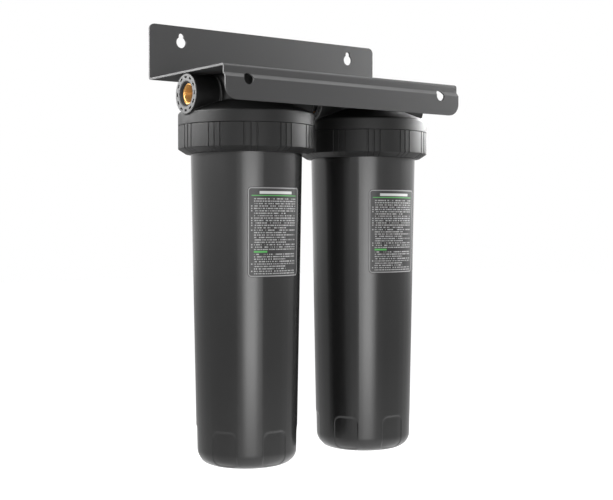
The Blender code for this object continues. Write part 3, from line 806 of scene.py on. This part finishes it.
def head_distance(points):
    """The signed distance to the head's shell with its ports, webs and chambers."""
    x, y, z = points[..., 0], points[..., 1], points[..., 2]
    far = 0.2

    def tube(radius, start, end, along=z, edge=0):
        """A cylinder on X or Z from start to end, with its edges rounded by edge."""
        radius, start, end = radius - edge, start + edge, end - edge
        out = (np.hypot(x, y) if along is z else np.hypot(y, z - port_axis)) - radius
        return bounded(out, np.maximum(start - along, along - end)) - edge

    face = port_reach - port_cap
    rings = tube(ring_radius, -ring_reach, ring_reach, x, ring_edge)
    rings = removed(rings, -(z - (head_top - 0.001)), 0.0015)
    web_top, web_low = port_axis, skirt_top - 0.001
    webs = bounded(
        np.abs(y) - web_half, np.abs(x) - web_reach,
        np.abs(z - (web_top + web_low) / 2) - (web_top - web_low) / 2,
    )

    # The chamber over the spigot's roof, less the outlet's upright tube and its way to the port
    chamber = tube(chamber_radius, spigot_roof - 0.01, chamber_roof)
    chamber = removed(
        chamber, tube(outlet_tube, outlet_tube_bottom, chamber_roof + 0.01), 0.002,
    )
    chamber = removed(chamber, tube(inner_pipe, 0.01, 0.06, x), 0.002)
    socket = tube(spigot_inner, skirt_bottom - 0.02, spigot_roof)
    socket = removed(socket, tube(outlet_tube, outlet_tube_bottom, spigot_roof + 0.02), 0.0015)
    riser = tube(outlet_drop, outlet_tube_bottom - 0.01, port_axis)
    pocket = port_reach - insert_front - insert_length - 0.0005
    wide = insert_radius + 0.0002
    bores = np.minimum.reduce([
        tube(bore_radius, -far, -0.036, x), tube(bore_radius, 0, far, x),
        tube(wide, -far, -pocket, x), tube(wide, pocket, far, x),
    ])

    form = turned_distance(head_path(), points)
    for added, fillet in (
        (rings, 0.0025), (tube(port_radius, -face, face, x), 0.0020), (webs, 0.0018),
    ):
        form = joined(form, added, fillet)
    for taken, fillet in ((chamber, 0.0015), (socket, 0.0015), (riser, 0.0012), (bores, 0.0012)):
        form = removed(form, taken, fillet)
    return form


def surface_net(distance, low, high, cell):
    """Points and quads of the surface where a distance is nought.

    Each point is the middle of where the surface crosses the edges of one cell."""
    axes = [np.arange(a, b + cell, cell) for a, b in zip(low, high)]
    value = distance(np.stack(np.meshgrid(*axes, indexing="ij"), -1))
    total = np.zeros(value.shape)
    place = np.zeros((*value.shape, 3))
    rings = []
    steps = np.eye(3, dtype=int)
    for axis, ahead in enumerate(steps):
        u, v = np.delete(steps, axis, 0)
        edge = np.argwhere(np.diff(value < 0, axis=axis))
        a, b = value[tuple(edge.T)], value[tuple((edge + ahead).T)]
        ring = []
        for back in (u + v, v, 0 * u, u):
            ring.append(tuple((edge - back).T))
            total[ring[-1]] += 1
            place[ring[-1]] += back + (a / (a - b))[:, None] * ahead
        rings.append(ring)
    used = total > 0
    number = np.full(value.shape, -1)
    number[used] = np.arange(used.sum())
    points = np.array(low) + (np.argwhere(used) + place[used] / total[used][:, None]) * cell
    quads = [np.stack([number[at] for at in ring], -1) for ring in rings]
    return points, np.concatenate(quads)


def gradient(distance, points, step=0.0003):
    """The outward direction of a distance at points."""
    out = np.zeros_like(points)
    for axis in range(3):
        shift = np.zeros(3)
        shift[axis] = step
        out[:, axis] = distance(points + shift) - distance(points - shift)
    length = np.linalg.norm(out, axis=1, keepdims=True)
    return out / np.where(length == 0, 1, length)


def head_mesh():
    """The head's shell as one closed mesh, thinned where it is flat, with exact normals."""
    cell = 0.00125
    low = (-0.1065, -0.1055, -0.0785)
    high = (0.1065, 0.1055, 0.0005)
    points, quads = surface_net(head_distance, low, high, cell)
    for _ in range(3):
        normal = gradient(head_distance, points)
        points = points - normal * np.clip(head_distance(points), -cell, cell)[:, None]
    shell = solid("head_shell", points.tolist(), quads.tolist())
    shell.modifiers.new("thin", "DECIMATE").ratio = 0.32
    apply(shell)
    mesh = shell.data
    spots = np.zeros(len(mesh.vertices) * 3)
    mesh.vertices.foreach_get("co", spots)
    normals = gradient(head_distance, spots.reshape(-1, 3))
    mesh.shade_smooth()
    mesh.normals_split_custom_set_from_vertices(normals.tolist())
    return freed(shell)


def port_face_mesh():
    """A port's end ring, facing +Z: a rim, twelve slots and a conical recess."""
    slots = 12
    low, high = 0.0227, 0.0253
    middle, width, depth = 0.0240, 0.0060, 0.0029
    slope = 0.00015
    rim_fillet = 0.0010
    tiny = 1e-6
    path = rounded([
        (recess_radius, 0, 0.0004), (port_radius, 0, rim_fillet),
        (port_radius, -port_cap - 0.0006, 0), (0.0168, -port_cap - 0.0014, 0),
        (0.0143, -0.0041, 0.0002),
    ], 4)
    rim = port_radius - rim_fillet - tiny
    flat = next(i for i, (r, z) in enumerate(path) if r >= rim and z > -tiny)
    slot_rows = [(r, 0) for r in (low - slope, low, (low + high) / 2, high, high + slope)]
    path = np.array(path[:flat] + slot_rows + path[flat:])
    span = width / middle
    edge = slope / middle
    between = math.tau / slots - span - 2 * edge
    spots = [-span / 2 - edge, -span / 2, -span / 6, span / 6, span / 2, span / 2 + edge]
    spots += [span / 2 + edge + between * k / 5 for k in range(1, 5)]
    angles = np.array([math.tau * i / slots + a for i in range(slots) for a in spots])
    grid = wound(*np.hsplit(path, 2), angles)
    radius, height = path.T
    sunk = (height > -tiny) & (low - tiny <= radius) & (radius <= high + tiny)
    in_slot = np.abs(folded(angles, slots)) <= span / 2 + tiny
    grid[..., 2] -= depth * (sunk[:, None] & in_slot)
    return finished(skin("port_face", grid, closed=True), 40)


def threaded_sleeve_mesh():
    """A brass insert facing +Z, its mouth at nought, with a pipe thread cut down its bore."""
    depth = 0.00085
    lead = 0.0019
    angles = even(72)
    rows = np.arange(0, insert_length + 1e-9, pipe_pitch / 7)[:, None]
    cut_in = smoothstep(0.1, 0.9, wave(-rows / pipe_pitch + angles / math.tau)) * depth
    fade = smoothstep(0, 0.0012, rows)
    mouth = np.clip(lead - rows, 0, lead)
    radius = np.minimum(insert_bore - 0.0001 + cut_in * fade + mouth, insert_radius - 0.0012)
    outer = np.array([
        (insert_radius - 0.0004, -insert_length), (insert_radius, -insert_length + 0.0004),
        (insert_radius, -0.0010), (insert_radius - 0.0003, -0.0003),
        (insert_radius - 0.0009, 0.0),
    ])
    grid = np.concatenate([wound(radius, -rows, angles), wound(*np.hsplit(outer, 2), angles)])
    return finished(skin("threaded_sleeve", grid, closed=True), 50)


def spigot_mesh():
    """The spigot below the head: a coarse rounded thread outside and a seal groove below."""
    angles = even(144)
    groove_in = oring_circle - oring_section - gap
    groove_out = oring_circle + oring_section + gap
    groove_top = oring_low + 2 * oring_section + gap
    top = skirt_bottom + 0.0005
    outer = refined([(thread_root, top), (thread_root, spigot_bottom + 0.0012)], thread_lead / 12)
    rest = rounded([
        (thread_root, spigot_bottom, 0.0010), (groove_out, spigot_bottom, 0.0003),
        (groove_out, groove_top, 0.0004), (groove_in, groove_top, 0.0004),
        (groove_in, spigot_bottom, 0.0003), (spigot_inner, spigot_bottom, 0.0010),
        (spigot_inner, top, 0),
    ], 3, closed=False)
    path = np.array(outer + rest[1:])
    z = path[:, 1:]
    run_out = 0.0039
    start = skirt_bottom - run_out
    end = spigot_bottom + run_out
    turns = angles / math.tau
    phase = (z - start) / thread_lead - turns
    crest = smoothstep(0.0021, 0.0010, np.abs(phase - np.round(phase)) * thread_lead)
    centre = start + (turns + np.round(phase)) * thread_lead
    inside = smoothstep(start + 0.0002, start - 0.0010, centre)
    inside = inside * smoothstep(end - 0.0002, end + 0.0010, centre)
    on_outer = (path[:, :1] > thread_root - 1e-6) & (z < skirt_bottom) & (z > spigot_bottom)
    radius = path[:, :1] + np.where(on_outer, crest * inside * thread_height, 0)
    return finished(skin("spigot", wound(radius, z, angles), closed=True), 45)


def build_heads():
    shell = head_mesh()
    face = port_face_mesh()
    sleeve = threaded_sleeve_mesh()
    spigot = spigot_mesh()
    for stage, place in stages:
        head = stage + "_head"
        ring = stage + "_threaded_ring"
        for word, mesh, nodes in (("_shell", shell, (head, ring)), ("_spigot", spigot, (ring,))):
            piece = linked(head + word, mesh)
            dress(piece, head_plastic, "frame", "head_plastic", *nodes, place=place)
        for side, word in ((-1, "_inlet"), (1, "_outlet")):
            turn = Matrix.Rotation(side * math.pi / 2, 4, "Y")
            port = stage + word
            for end, mesh, reach, material, slot, node in (
                ("_face", face, port_reach, face_plastic, "head_plastic", head),
                ("_sleeve", sleeve, port_reach - insert_front, brass, "brass", port + "_insert"),
            ):
                piece = linked(port + end, mesh.copy())
                piece.data.transform(Matrix.Translation((side * reach, 0, port_axis)) @ turn)
                dress(piece, material, "frame", slot, node, place=place)


# Building the sumps
def sump_radius(height):
    share = (collar_bottom - height) / (collar_bottom - sump_bottom)
    return sump_top_radius + (sump_foot_radius - sump_top_radius) * share


def panel_angles():
    """Angles with more of them near the sides of the panels."""
    half = panel_half / sump_foot_radius
    near = np.concatenate([
        np.linspace(-half - 0.030, -half + 0.010, 9),
        np.linspace(-half + 0.030, -half + 0.150, 6),
    ])
    outside = np.linspace(half + 0.030, math.tau / panels - half - 0.030, 7)[1:-1]
    spots = np.concatenate([near, [0.0], -near[::-1], outside])
    return np.sort(np.concatenate([
        math.tau * i / panels - math.pi / 2 + spots for i in range(panels)
    ]))


def body_mesh():
    """The tapered vessel, from the ledge in its collar down to its foot, with its panels."""
    angles = panel_angles()
    boss_top = sump_floor + 0.014
    inner_low = -0.555
    fine_from = -0.515
    fillet_top = sump_bottom + sump_fillet
    inner_foot = sump_radius(sump_floor) - sump_wall
    foot = sump_radius(fillet_top)
    inner = rounded([
        (0, boss_top, 0), (0.0115, boss_top, 0.0012), (0.0115, sump_floor, 0.0010),
        (0.0225, sump_floor, 0), (0.0245, sump_floor + 0.0035, 0.0008),
        (0.0265, sump_floor, 0), (inner_foot, sump_floor, 0.014),
        (inner_foot + 0.0003, inner_low, 0),
    ], 5, closed=False)[:-1]
    inner += refined([(sump_radius(z) - sump_wall, z) for z in (inner_low, ledge)], 0.08)
    down = refined([(sump_radius(z), z) for z in (ledge, fine_from)], 0.05)
    side = refined([(sump_radius(fine_from), fine_from), (foot, fillet_top)], 0.0014)
    bend = arc(foot - sump_fillet, fillet_top, sump_fillet, 0, -90, 22)
    under = [(r, sump_bottom + rise) for r, rise in (
        (0.0470, 0), (0.0450, 0.0006), (0.0300, 0.0006), (0.0080, 0.0006), (0.0072, 0.0002),
        (0.0030, 0.0002), (0, 0.0002),
    )]
    path = np.array(inner + down[:-1] + side + bend[1:] + under)
    step = np.gradient(path, axis=0)
    normal = np.stack([-step[:, 1], step[:, 0]], -1)
    normal /= np.linalg.norm(normal, axis=1, keepdims=True)
    poles = path[[0, -1], 1]
    path, normal = path[1:-1], normal[1:-1]
    radius, height = np.hsplit(path, 2)
    low, high = sump_bottom + panel_low, sump_bottom + panel_high
    across = radius * np.sin(folded(angles + math.pi / 2, panels))
    edge = bounded(
        np.abs(across) - (panel_half - panel_corner),
        np.abs(height - (low + high) / 2) - ((high - low) / 2 - panel_corner),
    )
    depth = smoothstep(0.0008, -0.0012, edge - panel_corner) * panel_depth
    depth[:len(inner) - 1] = 0
    depth[path[:, 0] < foot - sump_fillet] = 0
    grid = wound(radius - normal[:, :1] * depth, height - normal[:, 1:] * depth, angles)
    return finished(skin("sump_shell", grid, poles=poles), 50)


def collar_mesh():
    """The grooved collar: a ring with twelve groups of three upright grooves."""
    half = groove_width / 2
    edge = 0.00035
    offsets = np.array([-half - edge, -half - edge / 3, -half + edge / 3, -half + edge])
    offsets = np.concatenate([offsets, -offsets[::-1]]) / collar_radius
    step = groove_pitch / collar_radius
    group = math.tau / groove_groups
    start = step + offsets[-1]
    angles = np.sort(np.concatenate([
        group * g + np.concatenate([
            -step + offsets, offsets, step + offsets, [-step / 2, step / 2],
            np.linspace(start, group - start, 8)[1:-1],
        ])
        for g in range(groove_groups)
    ]))
    foot = collar_bottom + chamfer_height
    path = np.array(refined(rounded([
        (collar_radius, collar_top, 0.0003), (collar_radius, foot, 0.0012),
        (collar_radius - chamfer_width, collar_bottom, 0.0008),
        (sump_top_radius - 0.0004, collar_bottom, 0), (sump_top_radius - 0.0004, ledge, 0),
        (collar_bore, ledge, 0.0006), (collar_bore, collar_top, 0.0006),
    ], 3), 0.012, closed=True))
    radius, z = np.hsplit(path, 2)
    slope = chamfer_width / chamfer_height
    limit = collar_radius - np.clip(foot - z, 0, chamfer_height) * slope
    turn = folded(angles, groove_groups)
    near = np.minimum.reduce([np.abs(turn), np.abs(turn - step), np.abs(turn + step)])
    share = smoothstep((half + edge) / collar_radius, (half - edge) / collar_radius, near)
    grooved = np.where(share == 0, np.inf, limit - groove_depth * share)
    grid = wound(np.minimum(radius, grooved), z, angles)
    return finished(skin("collar", grid, closed=True), 40)


def label_mesh():
    """A thin film with rounded corners that lies on the tapered wall, with its flat layout."""
    tiny = 1e-5
    columns = 41
    corner_rows = [label_corner * (1 - math.cos(a)) for a in np.linspace(0, math.pi / 2, 8)]
    rows = sorted({
        *(label_top - c for c in corner_rows), *(label_bottom + c for c in corner_rows),
        *np.linspace(label_top - label_corner, label_bottom + label_corner, 9),
    }, reverse=True)
    rows[0] -= tiny
    rows[-1] += tiny
    middle_radius = sump_radius((label_top + label_bottom) / 2)
    z = np.array(rows)[:, None]
    inset = np.maximum(0, label_corner - np.minimum(label_top - z, z - label_bottom))
    reach = label_width / 2 - label_corner + np.sqrt(np.maximum(0, label_corner ** 2 - inset ** 2))
    along = np.linspace(-1, 1, columns) * reach
    a = along / middle_radius - math.pi / 2
    front, back = (wound(sump_radius(z) + lift, z, a) for lift in (0.00028, 0.00006))
    up = (z - label_bottom) / (label_top - label_bottom)
    flat = np.stack(np.broadcast_arrays(along / label_width + 0.5, up), -1)
    grid = np.concatenate([front, back[:, ::-1]], 1)
    spread = np.concatenate([flat, flat[:, ::-1]], 1).reshape(-1, 2)
    rims = np.arange(grid.size // 3).reshape(grid.shape[:2])[[0, -1]]
    near, far = rims[:, :columns], rims[:, :columns - 1:-1]
    ends = np.stack([near[:, :-1], near[:, 1:], far[:, 1:], far[:, :-1]], -1)
    piece = skin("label", grid, ends=ends.reshape(-1, 4).tolist())
    layer = piece.data.uv_layers.new(name="print")
    for loop in piece.data.loops:
        layer.data[loop.index].uv = spread[loop.vertex_index]
    return finished(piece, 40)


def build_sumps():
    body = body_mesh()
    collar = collar_mesh()
    label = label_mesh()
    for stage, place in stages:
        for word, mesh, material, slot, node in (
            ("_sump_shell", body, sump_plastic, "sump_plastic", "_sump"),
            ("_sump_collar", collar, head_plastic, "sump_plastic", "_sump"),
            ("_label_film", label, label_material, "label_film", "_label"),
        ):
            piece = linked(stage + word, mesh)
            dress(piece, material, stage + "_sump_body", slot, stage + node, place=place)


# Building the seals and cartridges
def media_piece(name, high, low):
    """A pleated tube of filter media between two heights."""
    angles = even(pleats * 4)
    depth = smoothstep(0.08, 0.92, wave(angles * pleats / math.tau))
    rows = np.linspace(high, low, 12)[:, None]
    outer = wound(media_radius - pleat_depth * (1 - depth), rows, angles)
    inner = wound(core_radius + 0.0004, np.array([[low], [high]]), angles)
    return skin(name, np.concatenate([outer, inner]), closed=True)


def build_cartridges():
    cap_high, cap_low = cartridge_top - gasket - gap, cartridge_bottom + gasket + gap
    media_high, media_low = cap_high - cap_wall - gap, cap_low + cap_wall + gap
    core_inner = core_radius - core_wall
    skirt_inner = media_radius + 0.0003
    for stage, place in stages:
        cartridge = stage + "_cartridge"

        def ring(name, corners, steps, count, material, slot, node):
            """A turned piece of the cartridge."""
            piece = smooth(turned(stage + name, rounded(corners, steps), even(count)))
            dress(piece, material, cartridge, slot, stage + node, place=place)

        seal = circle(oring_circle, oring_low + oring_section, oring_section, 20)
        seal = smooth(turned(stage + "_seal_ring", seal, even(96)), 60, False)
        dress(seal, seal_rubber, stage + "_seal", "black_rubber", stage + "_o_ring", place=place)
        pleated = smooth(media_piece(stage + "_media", media_high, media_low), 50, False)
        dress(pleated, media, cartridge, "filter_media", cartridge + "_media", place=place)
        ring("_core", [
            (core_inner, media_high, 0.0003), (core_radius, media_high, 0.0003),
            (core_radius, media_low, 0.0003), (core_inner, media_low, 0.0003),
        ], 2, 48, core_white, "core_plastic", "_cartridge_core")
        for word, face, up in (("_top", cap_high, 1), ("_bottom", cap_low, -1)):
            rim, roof = face - up * cap_skirt, face - up * cap_wall
            sunk = face - up * cap_groove_depth
            ring(word + "_end_cap", [
                (core_inner, face, 0.0006), (cap_groove_inner, face, 0.0003),
                (cap_groove_inner + cap_groove_slope, sunk, 0.0003),
                (cap_groove_outer - cap_groove_slope, sunk, 0.0003),
                (cap_groove_outer, face, 0.0003), (cap_radius, face, 0.0014),
                (cap_radius, rim, 0.0005), (skirt_inner, rim, 0.0004),
                (skirt_inner, roof, 0), (core_inner, roof, 0.0004),
            ], 3, 96, cap_blue, "cap_plastic", word + "_cap")
            high = cartridge_top if up > 0 else cap_low - gap
            ring(word + "_face_gasket", [
                (gasket_inner, high, 0.0008), (gasket_outer, high, 0.0008),
                (gasket_outer, high - gasket, 0.0008), (gasket_inner, high - gasket, 0.0008),
            ], 3, 64, seal_rubber, "black_rubber", word + "_gasket")


# Building the nipple and the screws
def hexagon(angles, width):
    """The radius of a hexagon that is that wide across its flats."""
    return width / 2 / np.cos(folded(angles, 6))


def build_nipple():
    """A hexagon with turned corners between the two port faces, with a threaded stub each way."""
    angles = even(144)
    width = 0.032
    half = 0.0060
    reach = 0.0315
    outer = insert_bore - 0.0003
    bore = outer - 0.0036
    corner = width / math.sqrt(3)
    rows = []
    for side in (1, -1):
        some = []
        for z in np.arange(reach, half, -0.0003):
            ridge = smoothstep(0.15, 0.85, wave(side * z / pipe_pitch - angles / math.tau))
            some.append((outer - ridge * 0.0007, side * z))
        for z, trim in ((half, -0.0016), (half - 0.0004, -0.0009), (half - 0.0014, 0.0004)):
            some.append((np.minimum(hexagon(angles, width), corner + trim), side * z))
        rows += some[::side]
    rows += [(bore, -reach), (bore, reach)]
    nipple = skin("nipple", np.array([wound(r, z, angles) for r, z in rows]), closed=True)
    nipple.data.transform(
        Matrix.Translation((0, axis_y, shelf_top + port_axis))
        @ Matrix.Rotation(math.pi / 2, 4, "Y")
    )
    smooth(nipple, 40)
    dress(nipple, head_plastic, "frame", "head_plastic", "connecting_nipple")


def build_screws():
    """Button-head screws with a hexagon socket, each on a plain washer."""
    angles = even(48)
    washer_low, washer_high = 0.0003, 0.0017
    high = washer_high + 0.0042
    pitch = 0.0010
    socket = hexagon(angles, 0.0040)
    rows = [
        (0.0006, high - 0.0030), (socket, high - 0.0026), (socket, high - 0.0003),
        (socket + 0.0003, high),
    ]
    rows += rounded([
        (0.0030, high, 0), (0.0050, high - 0.0003, 0.0014), (0.0055, washer_high + 0.0014, 0.0010),
        (0.0055, washer_high, 0),
    ], 4, closed=False)[1:]
    rows.append((0.0030, washer_high))
    for z in np.arange(0, 0.0160, pitch / 4):
        rows.append((0.0026 + 0.0004 * wave(z / pitch + angles / math.tau), -z))
    rows.append((0.0016, -0.0168))
    grid = np.array([wound(r, z, angles) for r, z in rows])
    screw = skin("screw", grid, poles=(high - 0.0030, -0.0170))
    washer = turned("washer", rounded([
        (0.0032, washer_low, 0.0002), (0.0085, washer_low, 0.0002),
        (0.0085, washer_high, 0.0003), (0.0032, washer_high, 0.0002),
    ], 2), even(64))
    meshes = (
        ("_bolt", freed(smooth(screw, 40, False))),
        ("_washer", freed(smooth(washer, weighted=False))),
    )
    offset = 0.0577 * math.sqrt(0.5)
    spots = [(a, b) for a in (-offset, offset) for b in (-offset, offset)]
    for stage, (x, y, z) in stages:
        for count, (a, b) in enumerate(spots, 1):
            node = stage + "_screw_" + str(count)
            for word, mesh in meshes:
                piece = linked(node + word, mesh)
                dress(piece, zinc, "frame", "zinc_steel", node, place=(x + a, y + b, z))


# Setting up the floor, light and camera
def build_floor():
    """A pale floor that glows where it is seen, and lets a view from below it through."""
    low = cad_box[0].z - floor_drop
    corners = ((-1, -1), (1, -1), (1, 1), (-1, 1))
    floor = solid("floor", [(x * floor_half, y * floor_half, low) for x, y in corners],
                  [[0, 1, 2, 3]])
    made = Paint("floor_paint", grey(0.80), 0.9)
    made.surface(Base_Color=made.between(made.noise(3, 2), grey(0.79), grey(0.81)))
    seen, mirrored = made.rays()
    glow = made.node("Emission", Strength=made.math(
        "MAXIMUM", made.math("MULTIPLY", seen, floor_seen),
        made.math("MULTIPLY", mirrored, floor_mirrored),
    ))
    both = made.ordered("AddShader", made.shader.outputs[0], glow.outputs[0])
    below = made.node("NewGeometry").outputs["Backfacing"]
    clear = made.node("BsdfTransparent").outputs[0]
    made.plug(
        made.ordered("MixShader", below, both, clear),
        made.tree.nodes["Material Output"].inputs["Surface"],
    )
    floor.data.materials.append(made.owner)


def build_world():
    """White where it is seen or mirrored, and a weaker fill on everything else."""
    made = Nodes(bpy.data.worlds.new("studio"))
    bpy.context.scene.world = made.owner
    every = made.math("MAXIMUM", *made.rays())
    made.fill(made.tree.nodes["Background"], {
        "Color": (1, 1, 1, 1), "Strength": made.ranged(every, fill_strength, 1.0, 0, 1),
    })


def build_camera():
    data = filled(
        bpy.data.cameras.new("camera"), lens=camera_lens, sensor_width=camera_sensor,
        sensor_fit="HORIZONTAL",
    )
    turn = [math.radians(a) for a in camera_turn]
    camera = filled(linked("camera", data), location=camera_place, rotation_euler=turn)
    bpy.context.scene.camera = camera


def area_light(name, x, azimuth, distance, height, aim, size, power):
    """A panel round the upright axis at x, turned to the point of that axis at the height aim.

    An azimuth of 0 is in front and 90 to the right."""
    data = filled(
        bpy.data.lights.new(name, "AREA"), shape="RECTANGLE", size=size[0], size_y=size[1],
        energy=power,
    )
    a = math.radians(azimuth)
    place = Vector((x + distance * math.sin(a), axis_y - distance * math.cos(a), height))
    turn = (Vector((x, axis_y, aim)) - place).to_track_quat("-Z", "Y").to_euler()
    filled(linked(name, data), visible_camera=False, location=place, rotation_euler=turn)


build_bracket()
build_heads()
build_nipple()
build_screws()
build_cartridges()
build_sumps()
build_floor()
build_world()
build_camera()
area_light("front_wide", 0, -26.4, 3.0, -0.50, -0.50, (1.95, 1.2), 22.5)
area_light("front_narrow", 0, -26.4, 2.95, -0.64, -0.64, (1.15, 0.91), 10.5)
area_light("high_panel", 0, 77, 1.43, 2.05, 0, (1.2, 1.2), 34)
area_light("right_panel", 0, 58, 3.0, 0.95, 0.3, (1.2, 0.7), 22)
area_light("top_panel", 0, 0, 0.293, 2.2, -0.30, (2.4, 2.0), 36)
# Low strips, which the heads and collars see and the glossy sumps don't
area_light("right_strip", -half_pitch, 87, 1.3, 0.21, 0.21, (0.85, 0.26), 42)
area_light("left_strip", -half_pitch, -120, 0.60, 0.085, 0.085, (0.85, 0.15), 10)
area_light("back_strip", half_pitch, 120, 0.60, 0.085, 0.085, (0.5, 0.15), 8)

bpy.context.scene.view_settings.view_transform = "Standard"
